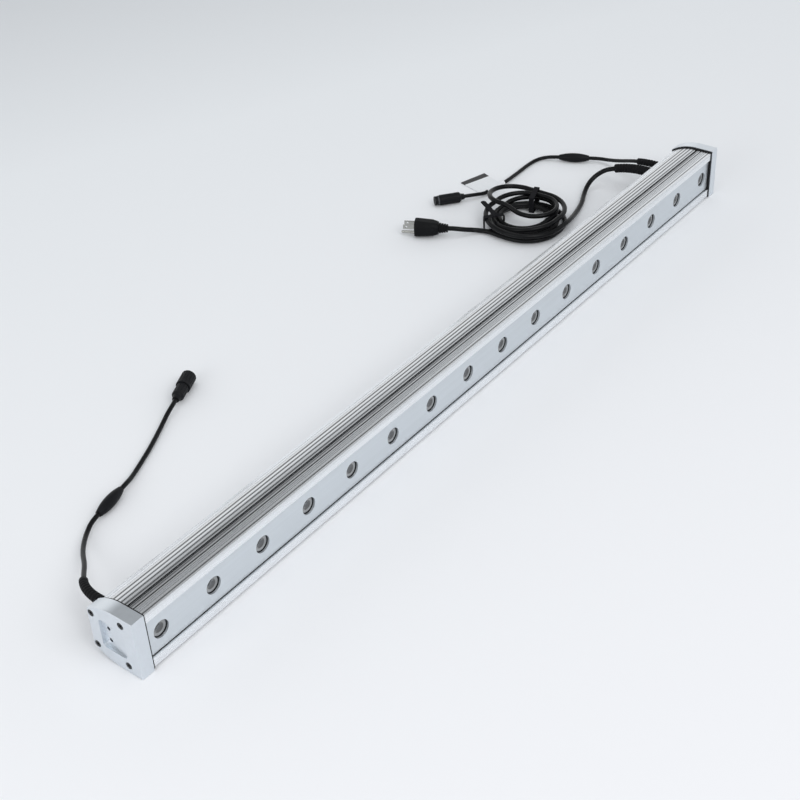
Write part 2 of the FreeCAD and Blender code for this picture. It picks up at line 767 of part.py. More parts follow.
def in_contact_nose():
    nose = rod(V(in_body_length, 0, 0), V(1, 0, 0), in_nose_radius, in_nose_length)
    groove = rod(V(in_body_length + 1.2, 0, 0), V(1, 0, 0), in_nose_radius + 1, 2.0)
    groove = groove.cut(rod(V(in_body_length, 0, 0), V(1, 0, 0), in_nose_radius - 1.2, 4.0))
    contacts = [rod(V(in_body_length + 2.0, y, z), V(1, 0, 0), connector_pin_radius + 0.15, in_nose_length)
                for y, z in around_axis(connector_pins, connector_pin_circle, 45)]
    return nose.cut(group([groove] + contacts))


def in_seal_ring():
    ring = rod(V(in_body_length + 1.2, 0, 0), V(1, 0, 0), in_nose_radius + 0.4, 2.0)
    return ring.cut(rod(V(in_body_length, 0, 0), V(1, 0, 0), in_nose_radius - 1.2, 4.0))


# ---------------------------------------------------------------- lead routes
def from_end(side, points):
    """Points whose X is measured from one end of the bar: -1 the near end, 1 the far end."""
    return [(p[0] + side * bar_length / 2, p[1], p[2]) for p in points]


out_splice_at, out_connector_at = from_end(-1, [(146.8, 187.4, 7.3), (354.2, 268.4, 9.9)])
in_splice_at, in_connector_at = from_end(1, [(-11.5, 181.5, 7.3), (-225.9, 275.5, 8.3)])
plug_face_at, = from_end(1, [(-352.3, 274.6, 14.2)])
out_splice_axis = level_axis(13.9)
out_connector_axis = level_axis(25.3)
in_splice_axis = level_axis(117.3)
in_connector_axis = level_axis(141.1)
plug_axis = level_axis(117.8)
plug_body_length = 35.0
plug_relief_length = 13.8


def signal_out_routes():
    start, end, heading = socket_start(signal_out_exit)
    first = [start, along(end, heading, 9.0), *from_end(-1, [(71.6, 124.5, 20.6), (86.1, 145.6, 13.0)])]
    first += [*from_end(-1, [(102.6, 163.6, 7.2), (119.0, 177.2, 4.5)]),
              along(out_splice_at, out_splice_axis, -13.6)]
    first += [out_splice_at]
    far_end = along(out_splice_at, out_splice_axis, splice_length)
    second = [far_end, along(far_end, out_splice_axis, 12.0),
              *from_end(-1, [(219.6, 208.4, 3.7), (246.3, 220.3, 3.05)])]
    second += [*from_end(-1, [(269.1, 230.2, 3.05), (293.1, 242.1, 3.05), (315.2, 253.4, 3.5),
                              (329.4, 258.8, 7.4)])]
    second += [along(out_connector_at, out_connector_axis, -12.0), out_connector_at]
    return first, second


def signal_in_routes():
    start, end, heading = socket_start(signal_in_exit)
    first = [start, along(end, heading, 10.0), *from_end(1, [(-16.6, 113.4, 22.4), (-10.2, 133.2, 14.8)])]
    first += [*from_end(1, [(-5.2, 151.6, 9.4)]), along(in_splice_at, in_splice_axis, -15.0), in_splice_at]
    far_end = along(in_splice_at, in_splice_axis, splice_length)
    second = [far_end, along(far_end, in_splice_axis, 10.0),
              *from_end(1, [(-40.7, 243.6, 4.8), (-47.8, 251.4, 3.4)])]
    second += [*from_end(1, [(-59.4, 255.2, 3.05), (-78.6, 256.0, 3.05), (-101.6, 254.7, 3.05),
                             (-122.6, 253.5, 3.7), (-145.6, 252.4, 4.5)])]
    second += [*from_end(1, [(-169.6, 254.1, 4.5), (-193.1, 257.6, 4.5), (-206.1, 262.6, 6.6)])]
    second += [along(in_connector_at, in_connector_axis, -12.0), in_connector_at]
    return first, second


coil_start, coil_centre = from_end(1, [(-292.6, 156.0, coil_layer_one), (-238.6, 154.0, 0.0)])


def mains_lead_route():
    start, end, heading = socket_start(mains_exit)
    route = [start, along(end, heading, 10.0), *from_end(1, [(-69.2, 122.9, 24.3), (-76.7, 129.6, 18.9)])]
    route += [*from_end(1, [(-86.2, 133.0, 13.6), (-96.8, 132.9, 9.0), (-108.6, 129.9, 5.6),
                            (-122.6, 124.4, 3.8)])]
    route += [*from_end(1, [(-138.1, 117.2, 3.65), (-155.6, 111.4, 3.8), (-172.6, 106.4, 5.4),
                            (-189.6, 101.4, 8.0)])]
    route += from_end(1, [(-205.0, 97.2, 10.8), (-219.6, 94.5, coil_layer_two),
                          (-232.6, 94.5, coil_layer_two)])
    return route


def plug_lead_route():
    face = plug_face_at
    relief_end = along(face, plug_axis, -(plug_body_length + plug_relief_length))
    route = [relief_end, along(relief_end, plug_axis, -12.0),
             *from_end(1, [(-315.1, 212.9, 10.8), (-305.1, 207.0, 7.5)])]
    route += [*from_end(1, [(-298.2, 199.8, 5.6), (-293.5, 191.0, 4.9), (-291.3, 180.7, 4.85),
                            (-292.6, 168.0, 4.85)])]
    return route + [coil_start]


# ---------------------------------------------------------------- coil
def left_of(heading):
    return V(-heading.y, heading.x, 0)


def half_turn(p, heading, radius, z):
    """Half circle to the left that climbs to z; its ends stay level."""
    end = V(p.x, p.y, z) + left_of(heading) * (2 * radius)
    chord = end - p
    middle = p + chord * 0.5 + heading * (chord.Length / 2)
    return [Part.Arc(p, middle, end).toShape()], end, heading * -1


def quarter_turn(p, heading, radius):
    side = left_of(heading)
    end = p + heading * radius + side * radius
    part = math.sqrt(0.5)
    middle = p + heading * (radius * part) + side * (radius * (1 - part))
    return [Part.Arc(p, middle, end).toShape()], end, side


def ramp(p, heading, distance, z):
    """Two arcs, one the other way up, that take the strand to z along a straight line."""
    rise = z - p.z
    angle = 2 * math.atan(abs(rise) / distance)
    radius = distance / 2 / math.sin(angle)
    up = V(0, 0, math.copysign(radius * (1 - math.cos(angle / 2)), rise))
    step = heading * (radius * math.sin(angle / 2))
    end = V(p.x, p.y, z) + heading * distance
    middle = (p + end) * 0.5
    first = Part.Arc(p, p + step + up, middle).toShape()
    second = Part.Arc(middle, end - step - up, end).toShape()
    return [first, second], end, heading


def straight(p, heading, distance):
    end = p + heading * distance
    return [Part.LineSegment(p, end).toShape()], end, heading


def coil_wire():
    """The coiled lead from the plug's side: in on the lowest layer, out on the second,
    one loose loop across the top, then once round the outside to the mains lead."""
    one, two, three, four = coil_layer_one, coil_layer_two, coil_layer_three, coil_layer_four
    moves = [(straight, 8.0), (quarter_turn, 50.0), (straight, 8.0)]
    moves += [(half_turn, 56.0, one), (half_turn, 50.0, one), (half_turn, 46.0, one)]
    moves += [(half_turn, 42.0, one), (half_turn, 38.0, two), (straight, 4.0), (half_turn, 36.0, two)]
    moves += [(straight, 24.0), (half_turn, 40.0, two), (straight, 24.0), (half_turn, 49.0, three)]
    moves += [(straight, 14.0), (quarter_turn, 52.0), (straight, 38.5), (half_turn, 36.5, four)]
    moves += [(ramp, 40.5, three), (half_turn, 32.5, three), (straight, 14.0), (quarter_turn, 44.0)]
    moves += [(straight, 16.0), (half_turn, 58.75, two), (straight, 8.0)]
    edges, here, heading = [], V(*coil_start), V(0, -1, 0)
    for move in moves:
        new, here, heading = move[0](here, heading, *move[1:])
        edges += new
    return Part.Wire(edges)


def sample(wire, step=2.0):
    points = []
    for edge in wire.Edges:
        count = max(1, int(edge.Length / step))
        span = edge.LastParameter - edge.FirstParameter
        points += [edge.valueAt(edge.FirstParameter + span * k / count) for k in range(count)]
    points.append(wire.Edges[-1].valueAt(wire.Edges[-1].LastParameter))
    return points


def least_gap(points, radius):
    """Least gap between parts of one tube that lie more than four diameters apart along it."""
    travelled = [0.0]
    for a, b in zip(points, points[1:]):
        travelled.append(travelled[-1] + (b - a).Length)
    least = (1e9, None)
    for i, p in enumerate(points):
        for j in range(i + 1, len(points)):
            if travelled[j] - travelled[i] > 8 * radius:
                gap = (points[j] - p).Length - 2 * radius
                if gap < least[0]:
                    least = (gap, p)
    return least, travelled[-1]


def coil():
    wire = coil_wire()
    points = sample(wire)
    (gap, where), length = least_gap(points, mains_cord_radius)
    print("coil length %.1f  least gap to itself %.2f at %s" % (length, gap, where))
    ring = Part.Wire(Part.makeCircle(mains_cord_radius, points[0], V(0, -1, 0)))
    tube = wire.makePipeShell([ring], True, False)
    print("coil volume share %.4f" % (tube.Volume / (math.pi * mains_cord_radius ** 2 * wire.Length)))
    return tube, points


def slab_extent(points, centre, outward, across, half_width, nearest):
    """Range of outward distance and height of the strands that pass through a tie."""
    reach, heights = [], []
    for p in points:
        offset = p - centre
        if abs(offset.dot(across)) < half_width and offset.dot(outward) > nearest:
            reach.append(offset.dot(outward))
            heights.append(p.z)
    grow = mains_cord_radius + tie_clearance
    return min(reach) - grow, max(reach) + grow, min(heights) - grow, max(heights) + grow


def tie_band(centre, outward, across, extent):
    """Closed strap round the strands, its inside kept clear of them."""
    t = tie_thickness
    outer = Part.makeBox(extent[1] - extent[0] + 2 * t, tie_width, extent[3] - extent[2] + 2 * t,
                         V(extent[0] - t, -tie_width / 2, extent[2] - t))
    inner = Part.makeBox(extent[1] - extent[0], tie_width + 2, extent[3] - extent[2],
                         V(extent[0], -tie_width / 2 - 1, extent[2]))
    upright = [e for e in outer.Edges if e.BoundBox.YLength > tie_width - 0.1]
    outer = outer.makeFillet(2.0, upright)
    upright = [e for e in inner.Edges if e.BoundBox.YLength > tie_width + 1.9]
    inner = inner.makeFillet(2.0 - t, upright)
    return place_along(outer.cut(inner), centre, outward)


inner_tie_angle = 140.0    # directions of the ties from the coil's centre
outer_tie_angle = 20.0
inner_tail_angle = 58.0    # direction that the inner tie's loose end points in
inner_tail_length = 50.0
outer_tail_length = 24.0
outer_tail_height = 6.0
hole_radius = 15.0         # no strand runs nearer the coil's centre than this


def tie_round(points, degrees):
    """Strap round all the strands in one direction from the coil's centre."""
    centre = V(*coil_centre)
    outward = V(*level_axis(degrees))
    across = left_of(outward)
    extent = slab_extent(points, centre, outward, across, tie_width / 2 + 1.5, hole_radius)
    return tie_band(centre, outward, across, extent), centre, outward, across, extent


def inner_tie(points):
    band, centre, outward, across, extent = tie_round(points, inner_tie_angle)
    root = centre + outward * ((extent[0] + extent[1]) / 2 - 2.0)
    tail = Part.makeBox(inner_tail_length, tie_width, tie_thickness, V(-2.0, -tie_width / 2, 0))
    round_end = [e for e in tail.Edges if e.BoundBox.XMin > inner_tail_length - 2.1
                 and e.BoundBox.ZLength > 0.5]
    tail = tail.makeFillet(tie_width / 2 - 0.1, round_end)
    base = V(root.x, root.y, extent[3] + tie_thickness)
    return band.fuse(place_along(tail, base, V(*level_axis(inner_tail_angle))))


def outer_tie(points):
    band, centre, outward, across, extent = tie_round(points, outer_tie_angle)
    low = (extent[2] + extent[3]) / 2 + 2.0
    root = centre + outward * (extent[1] + tie_thickness) - across * (tie_width / 2)
    tail = Part.makeBox(outer_tail_length, tie_thickness, outer_tail_height)
    return band.fuse(place_along(tail, V(root.x, root.y, low), V(0, 1, 0)))


# ---------------------------------------------------------------- tag
tag_low = 0.3
tag_lead_height = 4.5
tag_corners = from_end(1, [(-195.1, 261.5, tag_low), (-150.1, 256.5, tag_low), (-133.6, 301.0, tag_low),
                           (-179.6, 314.0, tag_low)])
tag_lead = from_end(1, [(-145.6, 252.9, tag_lead_height), (-193.1, 257.2, tag_lead_height)])
tag_sleeve_inset = 5.0
tag_sleeve_length = 39.0
tag_foot_width = 8.0
tag_sleeve_bore = 3.75


def label_tag():
    """Blank flag label: a flat leaf and the sleeve that it forms round the lead."""
    leaf = [V(*p) for p in tag_corners]
    leaf = Part.Face(Part.makePolygon(leaf + [leaf[0]])).extrude(V(0, 0, tag_thickness))
    a, b = [V(*p) for p in tag_lead]
    axis = (b - a).normalize()
    start, length = a + axis * tag_sleeve_inset, tag_sleeve_length
    sleeve = rod(start, axis, tag_sleeve_bore + 0.5, length)
    side = V(-axis.y, axis.x, 0) * -tag_foot_width
    drop = V(0, 0, tag_low - tag_lead_height)
    foot = [start + drop, start + axis * length + drop, start + axis * length + side + drop,
            start + side + drop]
    foot = Part.Face(Part.makePolygon(foot + [foot[0]])).extrude(V(0, 0, tag_thickness))
    bore = rod(start - axis, axis, tag_sleeve_bore, length + 2)
    return leaf.fuse([sleeve, foot]).cut(bore)


# ---------------------------------------------------------------- plug
plug_roll = 20.0
plug_blade_lift = 3.4


def round_rect_wire(x, half_y, half_z, corner):
    part = corner * (1 - math.sqrt(0.5))
    y, z, r = half_y, half_z, corner
    edges = []
    for sy, sz in ((1, 1), (-1, 1), (-1, -1), (1, -1)):
        a, b = V(x, sy * y, sz * (z - r)), V(x, sy * (y - r), sz * z)
        middle = V(x, sy * (y - part), sz * (z - part))
        start, end = (a, b) if sy * sz > 0 else (b, a)
        edges.append(Part.Arc(start, middle, end).toShape())
        nxt = V(x, -end.y, end.z) if sy * sz > 0 else V(x, end.y, -end.z)
        edges.append(Part.makeLine(end, nxt))
    return Part.Wire(edges)


def plug_placed(shape):
    turned_shape = shape.copy()
    turned_shape.rotate(V(0, 0, 0), V(1, 0, 0), plug_roll)
    return place_along(turned_shape, V(*plug_face_at), V(*plug_axis))


def plug_parts():
    """Moulded plug; local X leaves its face, the blades point along +X."""
    sections = [(-plug_body_length, 9.0, 8.6, 6.5), (-26.0, 11.4, 11.0, 7.5), (-10.0, 12.2, 12.2, 8.5)]
    sections += [(-3.0, 12.8, 12.8, 9.5), (0.0, 12.6, 12.6, 9.5)]
    body = Part.makeLoft([round_rect_wire(*s) for s in sections], True, True)
    blades = []
    for s in (-1, 1):
        y = s * blade_spacing / 2
        blades.append(box(-blade_root, blade_length, y - blade_thickness / 2, y + blade_thickness / 2,
                          plug_blade_lift - blade_width / 2, plug_blade_lift + blade_width / 2))
    z = plug_blade_lift - earth_pin_drop
    pin = rod(V(-blade_root, 0, z), V(1, 0, 0), earth_pin_radius, blade_root + earth_pin_length)
    pin = pin.makeFillet(1.6, [e for e in pin.Edges if e.BoundBox.XMin > earth_pin_length - 0.1])
    well = rod(V(-blade_root, 0, z), V(1, 0, 0), earth_pin_radius + cord_slack, blade_root + 1)
    body = body.cut(group(blades + [well]))
    tips = []
    for blade, s in zip(blades, (-1, 1)):
        tip = [e for e in blade.Edges if e.BoundBox.XMin > blade_length - 0.1 and e.BoundBox.ZLength > 1]
        eye = rod(V(blade_length - 5.0, s * blade_spacing / 2 - 3, plug_blade_lift), V(0, 1, 0), 1.5, 6.0)
        tips.append(blade.makeChamfer(0.5, tip).cut(eye))
    return plug_placed(body), plug_placed(group(tips)), plug_placed(pin)


def plug_relief():
    """Ribbed sleeve between the plug's body and its lead."""
    total, rings_count = plug_relief_length, 4
    pitch = total / rings_count
    profile = []
    for k in range(rings_count):
        at = k * pitch
        radius = 5.6 + 2.2 * (k + 1) / rings_count
        profile += [(at, radius), (at + pitch * 0.62, radius), (at + pitch * 0.7, radius - 1.4)]
        profile += [(at + pitch, radius - 1.4)]
    relief = turned(profile)
    base = along(plug_face_at, plug_axis, -(plug_body_length + total))
    return place_along(relief, V(*base), V(*plug_axis))


# ---------------------------------------------------------------- build
def build_bar():
    export("housing_extrusion", housing())
    for side, end in ((-1, "near"), (1, "far")):
        export("end_cap_" + end, end_cap(side))
        export("end_gasket_" + end, end_gasket(side))
        export("cap_screws_" + end, cap_screws(side))
    export("face_panel", face_panel())
    export("panel_seal_upper", panel_seal(1))
    export("panel_seal_lower", panel_seal(-1))
    export("lens_holders", group([lens_holder(x) for x in lens_places()]))
    per_board = lens_count // board_count
    for k in range(board_count):
        row = lens_places()[k * per_board:(k + 1) * per_board]
        export("lens_row_%d" % (k + 1), group([lens(x) for x in row]))
    export("led_packages", group([led_package(x) for x in lens_places()]))
    for k in range(board_count):
        export("led_board_%d" % (k + 1), led_board(k))
    export("board_screws", board_screws())
    export("power_supply_case", power_supply_case())
    export("power_supply_board", power_supply_board())
    export("control_board", control_board())


def build_exits():
    for name, e, r in (("signal_out", signal_out_exit, signal_cord_radius),
                       ("signal_in", signal_in_exit, signal_cord_radius),
                       ("mains", mains_exit, mains_cord_radius)):
        export(name + "_gland", gland(e))
        export(name + "_boot", boot(e, r))
        print(name, "boot ends at", boot_end(e))


def build_signal_leads():
    first, second = signal_out_routes()
    export("signal_out_cord", cord("signal_out_cord", first, signal_cord_radius))
    export("signal_out_splice", splice(out_splice_at, out_splice_axis))
    export("signal_out_end_cord", cord("signal_out_end_cord", second, signal_cord_radius))
    at, axis = V(*out_connector_at), V(*out_connector_axis)
    export("signal_out_connector", place_along(out_connector_body(), at, axis))
    export("signal_out_contacts", place_along(out_contact_insert(), at, axis))
    export("signal_out_seal_ring", place_along(out_seal_ring(), at, axis))
    export("coupling_nut", place_along(coupling_nut(), at, axis))
    first, second = signal_in_routes()
    export("signal_in_cord", cord("signal_in_cord", first, signal_cord_radius))
    export("signal_in_splice", splice(in_splice_at, in_splice_axis))
    export("signal_in_end_cord", cord("signal_in_end_cord", second, signal_cord_radius))
    at, axis = V(*in_connector_at), V(*in_connector_axis)
    export("signal_in_connector", place_along(in_connector_body(), at, axis))
    export("signal_in_contact_nose", place_along(in_contact_nose(), at, axis))
    export("signal_in_seal_ring", place_along(in_seal_ring(), at, axis))
    export("label_tag", label_tag())


def build_mains_lead():
    export("mains_cord", cord("mains_cord", mains_lead_route(), mains_cord_radius))
    tube, points = coil()
    export("mains_cord_coil", tube)
    export("plug_cord", cord("plug_cord", plug_lead_route(), mains_cord_radius))
    export("coil_tie_inner", inner_tie(points))
    export("coil_tie_outer", outer_tie(points))
    body, blades, pin = plug_parts()
    export("plug_body", body)
    export("plug_blades", blades)
    export("plug_earth_pin", pin)
    export("plug_strain_relief", plug_relief())


build_bar()
build_exits()
build_signal_leads()
build_mains_lead()
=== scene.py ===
import json
import math

import bmesh
import bpy
from mathutils import Matrix, Vector


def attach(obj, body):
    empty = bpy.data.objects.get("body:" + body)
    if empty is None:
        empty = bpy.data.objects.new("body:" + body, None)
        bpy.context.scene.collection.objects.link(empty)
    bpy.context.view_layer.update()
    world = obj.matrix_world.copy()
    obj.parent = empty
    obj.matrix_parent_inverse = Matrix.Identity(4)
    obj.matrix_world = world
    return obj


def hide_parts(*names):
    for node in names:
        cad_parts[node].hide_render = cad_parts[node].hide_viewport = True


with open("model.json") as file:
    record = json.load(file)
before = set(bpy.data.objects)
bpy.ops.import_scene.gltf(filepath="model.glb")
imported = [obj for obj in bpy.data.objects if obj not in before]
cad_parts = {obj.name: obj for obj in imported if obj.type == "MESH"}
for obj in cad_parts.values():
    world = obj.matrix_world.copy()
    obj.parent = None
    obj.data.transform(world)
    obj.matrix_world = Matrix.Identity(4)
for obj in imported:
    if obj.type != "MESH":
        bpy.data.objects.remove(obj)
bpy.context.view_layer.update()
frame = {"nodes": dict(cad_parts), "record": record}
nodes = frame["nodes"]
bpy.ops.object.select_all(action="DESELECT")

# ---------------------------------------------------------------- view
# A product view from beyond the near end, looking down along the front and the top of the bar.
# The three directions are the camera's own right, up and back.
lens_and_film = bpy.data.cameras.new("camera")
lens_and_film.sensor_width = 36.0
lens_and_film.lens = 63.94
lens_and_film.clip_end = 50.0
view_right = Vector((0.60490268, -0.79486983, -0.04769388))
view_up = Vector((0.49010841, 0.32443286, 0.80903465))
view_back = Vector((-0.62760377, -0.5127624, 0.58582269))
view_place = Matrix.Translation((-1.20613, -0.87227, 1.04324))
camera = bpy.data.objects.new("camera", lens_and_film)
camera.matrix_world = view_place @ Matrix((view_right, view_up, view_back)).transposed().to_4x4()
bpy.context.scene.collection.objects.link(camera)
bpy.context.scene.camera = camera
bpy.context.scene.view_settings.view_transform = "Standard"


# ---------------------------------------------------------------- housing
# The long housing is one extruded length of aluminium with a satin skin, closed by a cap at each end.
# Fine grooves and the mounting slot run the whole length of its top; the darkness between the bright ribs is
# painted shade and dark reflection in the grooves, multiplied into the colour.
def surface_grain():
    """Two sizes of noise on Object coordinates: Mask for colour and gloss, Height for relief."""
    broad_share, even_mix = 0.11, 0.5
    group = bpy.data.node_groups.new("surface_grain", "ShaderNodeTree")
    group.interface.new_socket("Scale", in_out="INPUT", socket_type="NodeSocketVector")
    group.interface.new_socket("Mask", in_out="OUTPUT", socket_type="NodeSocketFloat")
    group.interface.new_socket("Height", in_out="OUTPUT", socket_type="NodeSocketFloat")
    n, link = group.nodes, group.links.new
    given, put = n.new("NodeGroupInput"), n.new("NodeGroupOutput")
    place, times = n.new("ShaderNodeTexCoord"), n.new("ShaderNodeVectorMath")
    times.operation = "MULTIPLY"
    fine, broad = n.new("ShaderNodeTexNoise"), n.new("ShaderNodeTexNoise")
    fine.inputs["Scale"].default_value = 1.0
    fine.inputs["Detail"].default_value = 4.0
    broad.inputs["Scale"].default_value = broad_share
    mix, half = n.new("ShaderNodeMath"), n.new("ShaderNodeMath")
    mix.operation, half.operation = "MULTIPLY_ADD", "MULTIPLY"
    mix.inputs[1].default_value = even_mix
    half.inputs[1].default_value = even_mix
    link(place.outputs["Object"], times.inputs[0])
    link(given.outputs["Scale"], times.inputs[1])
    link(times.outputs[0], fine.inputs["Vector"])
    link(times.outputs[0], broad.inputs["Vector"])
    link(broad.outputs["Fac"], half.inputs[0])
    link(fine.outputs["Fac"], mix.inputs[0])
    link(half.outputs[0], mix.inputs[2])
    link(mix.outputs[0], put.inputs["Mask"])
    link(fine.outputs["Fac"], put.inputs["Height"])
    return group


grain = surface_grain()
grain_depth = 0.0002
along_bar, even, coarse = (14, 1800, 1800), (1600, 1600, 1600), (500, 500, 500)


def finish(name, colour, metallic, roughness, scale, tone=0.12, relief=0.1, gloss_range=0.08, **sockets):
    """One finish: colour and roughness vary with the grain, and the grain is embossed."""
    look = bpy.data.materials.new(name)
    look.use_nodes = True
    n, link = look.node_tree.nodes, look.node_tree.links.new
    shader = n["Principled BSDF"]
    shader.inputs["Metallic"].default_value = metallic
    for socket, value in sockets.items():
        shader.inputs[socket.replace("_", " ")].default_value = value
    texture = n.new("ShaderNodeGroup")
    texture.node_tree = grain
    texture.inputs["Scale"].default_value = scale
    tones = n.new("ShaderNodeValToRGB")
    dark, light = tones.color_ramp.elements
    dark.position, light.position = 0.3, 0.7
    dark.color = (*[c * (1 - tone) for c in colour], 1)
    light.color = (*[min(1, c * (1 + tone)) for c in colour], 1)
    gloss = n.new("ShaderNodeMapRange")
    gloss.inputs["To Min"].default_value = roughness - gloss_range
    gloss.inputs["To Max"].default_value = roughness + gloss_range
    bump = n.new("ShaderNodeBump")
    bump.inputs["Strength"].default_value = relief
    bump.inputs["Distance"].default_value = grain_depth
    link(texture.outputs["Mask"], tones.inputs["Fac"])
    link(texture.outputs["Mask"], gloss.inputs["Value"])
    link(texture.outputs["Height"], bump.inputs["Height"])
    link(tones.outputs["Color"], shader.inputs["Base Color"])
    link(gloss.outputs["Result"], shader.inputs["Roughness"])
    link(bump.outputs["Normal"], shader.inputs["Normal"])
    return look


def dress(slot, look):
    """Put a finish on every solid whose record names that material slot."""
    for row in frame["record"]["subparts"]:
        if row["material_slot"] == slot:
            nodes[row["node"]].data.materials.clear()
            nodes[row["node"]].data.materials.append(look)


def paint_groove_shade(look):
    """Paint shade and dark reflections into the top's grooves: millimetres back from the front edge, and a
    brightness.
    """
    front_edge, back_edge, top_depth = -0.0335, 0.0311, 64.6
    top_starts, top_full = 0.0690, 0.0700
    # painted shade: each brightness darkens the top's colour in a groove, where shade and dark reflections
    # fall
    groove_shade_stops = (
        (0.9, 0.55), (1.8, 1.0), (3.7, 1.0), (4.5, 0.25), (5.6, 0.25), (6.4, 0.95),
        (8.4, 0.95), (9.2, 0.6), (10.5, 0.95), (11.8, 0.6), (12.9, 0.95), (14.0, 0.6),
        (15.9, 0.95), (16.5, 0.2), (17.7, 0.2), (18.4, 0.9), (20.8, 0.4), (22.4, 0.6),
        (22.9, 0.03), (25.7, 0.03), (26.3, 1.0), (28.8, 0.22), (31.6, 1.0), (34.5, 0.22),
        (37.4, 1.0), (40.2, 0.22), (43.2, 1.0), (46.3, 0.16), (49.0, 0.9), (51.6, 0.2),
        (58.0, 0.8), (64.4, 0.5))
    n, link = look.node_tree.nodes, look.node_tree.links.new
    shader = n["Principled BSDF"]
    plain = shader.inputs["Base Color"].links[0].from_socket
    place, split = n.new("ShaderNodeTexCoord"), n.new("ShaderNodeSeparateXYZ")
    across, groove_shade_ramp = n.new("ShaderNodeMapRange"), n.new("ShaderNodeValToRGB")
    across.inputs["From Min"].default_value = front_edge
    across.inputs["From Max"].default_value = back_edge
    row = groove_shade_ramp.color_ramp
    row.elements.remove(row.elements[-1])
    row.elements[0].position = groove_shade_stops[0][0] / top_depth
    row.elements[0].color = (*[groove_shade_stops[0][1]] * 3, 1)
    for distance, brightness in groove_shade_stops[1:]:
        row.elements.new(distance / top_depth).color = (brightness, brightness, brightness, 1)
    height, only_top, both = n.new("ShaderNodeMapRange"), n.new("ShaderNodeMix"), n.new("ShaderNodeMix")
    height.inputs["From Min"].default_value = top_starts
    height.inputs["From Max"].default_value = top_full
    only_top.data_type = both.data_type = "RGBA"
    both.blend_type = "MULTIPLY"
    both.inputs["Factor"].default_value = 1.0
    only_top.inputs["A"].default_value = (1, 1, 1, 1)
    link(place.outputs["Object"], split.inputs[0])
    link(split.outputs["Y"], across.inputs["Value"])
    link(across.outputs["Result"], groove_shade_ramp.inputs["Fac"])
    link(split.outputs["Z"], height.inputs["Value"])
    link(height.outputs["Result"], only_top.inputs["Factor"])
    link(groove_shade_ramp.outputs["Color"], only_top.inputs["B"])
    link(plain, both.inputs["A"])
    link(only_top.outputs["Result"], both.inputs["B"])
    link(both.outputs["Result"], shader.inputs["Base Color"])


extrusion_look = finish("satin_extrusion", (0.88, 0.90, 0.92), 0.96, 0.27, along_bar, 0.04, 0.08)
paint_groove_shade(extrusion_look)
dress("extrusion_aluminium", extrusion_look)

# ---------------------------------------------------------------- end caps
# Each end is closed by a cast cap in silver paint over a black rubber gasket.
# Four black screws in counterbores hold it to the housing.
cap_look = finish("silver_cap_paint", (0.72, 0.76, 0.80), 0.96, 0.30, even, 0.03, 0.10, 0.04)
gasket_look = finish("gasket", (0.012, 0.012, 0.013), 0.0, 0.70, coarse, 0.2, 0.3, Specular_IOR_Level=0.15)
cap_screw_look = finish("black_oxide", (0.012, 0.013, 0.015), 0.5, 0.38, even, 0.2, 0.1)
dress("cap_silver", cap_look)
dress("gasket_rubber", gasket_look)
dress("black_screw", cap_screw_look)

# ---------------------------------------------------------------- face panel
# A pale aluminium strip with sixteen round holes, recessed between the two flanges of the housing.
# The black rubber strips at its long edges have the gasket's finish.
panel_look = finish("pale_panel", (0.66, 0.70, 0.735), 0.80, 0.42, along_bar, 0.04, 0.08)
dress("panel_aluminium", panel_look)


# ---------------------------------------------------------------- lenses and light sources
# A clear moulded lens in a black holder stands in front of each light source, behind its own hole.
# Its colour is painted by the distance from its axis: painted light on a grey ring round painted shade in a
# darker dish.
def paint_lens_light_and_shade(look):
    """Paint light on each lens's ring and shade in its dish, by the distance from its own axis."""
    lens_pitch, first_lens, axis_height, lens_radius = 0.0762, -0.5715, 0.038, 0.010
    # painted shade in the dish and painted light on the ring, set in the lens's base colour
    shaded_dish, lit_rim = (0.13, 0.14, 0.155, 1), (0.35, 0.37, 0.39, 1)
    shaded_dish_edge, lit_ring_start, lit_ring_end = (0.56, 0.10), (0.63, 0.36), (0.84, 0.46)
    n, link = look.node_tree.nodes, look.node_tree.links.new
    place, split = n.new("ShaderNodeTexCoord"), n.new("ShaderNodeSeparateXYZ")
    fold, sideways, upwards = [n.new("ShaderNodeMath") for _ in range(3)]
    fold.operation = "WRAP"
    fold.inputs[1].default_value = first_lens + lens_pitch / 2
    fold.inputs[2].default_value = first_lens - lens_pitch / 2
    sideways.operation = upwards.operation = "SUBTRACT"
    sideways.inputs[1].default_value = first_lens
    upwards.inputs[1].default_value = axis_height
    total, reach = n.new("ShaderNodeMath"), n.new("ShaderNodeMath")
    reach.operation = "SQRT"
    link(place.outputs["Object"], split.inputs[0])
    link(split.outputs["X"], fold.inputs[0])
    link(fold.outputs[0], sideways.inputs[0])
    link(split.outputs["Z"], upwards.inputs[0])
    for k, offset in enumerate((sideways, upwards)):
        square = n.new("ShaderNodeMath")
        square.operation = "POWER"
        square.inputs[1].default_value = 2.0
        link(offset.outputs[0], square.inputs[0])
        link(square.outputs[0], total.inputs[k])
    link(total.outputs[0], reach.inputs[0])
    share, rings = n.new("ShaderNodeMapRange"), n.new("ShaderNodeValToRGB")
    share.inputs["From Max"].default_value = lens_radius
    row = rings.color_ramp.elements
    row[0].position, row[0].color = 0.0, shaded_dish
    row[1].position, row[1].color = 0.95, lit_rim
    for position, value in (shaded_dish_edge, lit_ring_start, lit_ring_end):
        row.new(position).color = (value, value * 1.02, value * 1.04, 1)
    link(reach.outputs[0], share.inputs["Value"])
    link(share.outputs["Result"], rings.inputs["Fac"])
    link(rings.outputs["Color"], n["Principled BSDF"].inputs["Base Color"])


